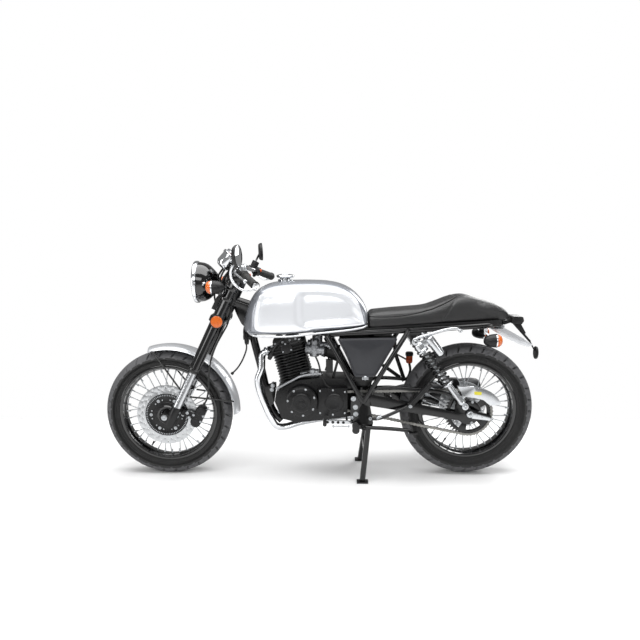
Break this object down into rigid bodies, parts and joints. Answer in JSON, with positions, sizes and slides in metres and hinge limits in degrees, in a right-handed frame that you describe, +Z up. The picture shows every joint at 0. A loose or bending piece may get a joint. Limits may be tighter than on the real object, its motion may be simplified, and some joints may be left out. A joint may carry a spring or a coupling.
{
  "type": "cafe racer motorcycle",
  "caption": "Air-cooled single-cylinder cafe racer with silver tank and fender, humped seat, wire wheels, low bar and twin shocks, parked on its centre stand.",
  "frame": {"origin": "on the ground under the middle of the machine's length and width", "axes": "+X to the rear along its length, +Y to the rider's right, +Z up"},
  "size_m": [2.014, 0.9194, 1.0758],
  "materials": {
    "frame_black": "gloss black paint on steel tube",
    "zinc_steel": "zinc-plated steel",
    "engine_black": "satin black paint on cast aluminium",
    "cast_aluminium": "bare cast aluminium",
    "black_plastic": "moulded black plastic",
    "chrome": "chrome plate",
    "muffler_black": "heat-proof black paint",
    "tank_silver": "silver metallic paint under clear coat",
    "seat_leather": "black grained leather cloth",
    "cover_grey": "dark grey satin paint",
    "chain_steel": "oiled steel",
    "polished_aluminium": "polished aluminium",
    "black_rubber": "moulded rubber",
    "fork_black": "gloss black anodising",
    "tyre_rubber": "tyre rubber",
    "rim_black": "gloss black anodised rim",
    "disc_steel": "ground stainless steel",
    "sprocket_steel": "blackened steel"
  },
  "bodies": {
    "frame": {"main_frame": "frame_black", "side_frame": "frame_black", "seat_rails": "frame_black", "swingarm": "frame_black", "rear_axle": "zinc_steel", "crankcase": "engine_black", "cylinder": "engine_black", "cylinder_head": "engine_black", "carburettor": "cast_aluminium", "air_box": "black_plastic", "exhaust_header": "chrome", "muffler": "muffler_black", "fuel_tank": "tank_silver", "tank_cap": "chrome", "seat": "seat_leather", "side_covers": "cover_grey", "rear_shocks": "cast_aluminium", "chain": "chain_steel", "chain_guard": "polished_aluminium", "rear_fender": "polished_aluminium", "tail_light": "black_plastic", "rear_turn_signals": "black_plastic", "footpegs": "black_rubber", "foot_controls": "polished_aluminium", "rear_caliper": "engine_black", "horn": "black_plastic"},
    "steering": {"triple_clamps": "frame_black", "fork_tubes": "fork_black", "fork_legs": "chrome", "front_axle": "zinc_steel", "handlebars": "chrome", "grips": "black_rubber", "control_levers": "polished_aluminium", "mirrors": "chrome", "gauges": "chrome", "headlight": "fork_black", "front_turn_signals": "black_plastic", "front_fender": "polished_aluminium", "front_caliper": "engine_black", "front_brake_hose": "black_rubber"},
    "front_wheel": {"front_tyre": "tyre_rubber", "front_rim": "rim_black", "front_spokes": "zinc_steel", "front_hub": "engine_black", "front_disc": "disc_steel"},
    "rear_wheel": {"rear_tyre": "tyre_rubber", "rear_rim": "rim_black", "rear_spokes": "zinc_steel", "rear_hub": "engine_black", "rear_disc": "disc_steel", "rear_sprocket": "sprocket_steel"},
    "centre_stand": {"centre_stand": "frame_black"},
    "side_stand": {"side_stand": "frame_black"}
  },
  "joints": [
    {"name": "steering_head", "type": "hinge", "parent": "frame", "child": "steering", "pos_m": [-0.40943, 0, 0.81499], "axis": [0.4384, 0, 0.8988], "range_deg": [-35, 35]},
    {"name": "front_wheel_axle", "type": "hinge", "parent": "steering", "child": "front_wheel", "pos_m": [-0.712, 0, 0.295], "axis": [0, 1, 0], "continuous": true},
    {"name": "rear_wheel_axle", "type": "hinge", "parent": "frame", "child": "rear_wheel", "pos_m": [0.684, 0, 0.315], "axis": [0, 1, 0], "continuous": true},
    {"name": "centre_stand_pivot", "type": "hinge", "parent": "frame", "child": "centre_stand", "pos_m": [0.226, 0, 0.266], "axis": [0, -1, 0], "range_deg": [0, 76]},
    {"name": "side_stand_pivot", "type": "hinge", "parent": "frame", "child": "side_stand", "pos_m": [0.202, -0.1382, 0.258], "axis": [-0.074, 0.9862, -0.1479], "range_deg": [0, 95]}
  ]
}
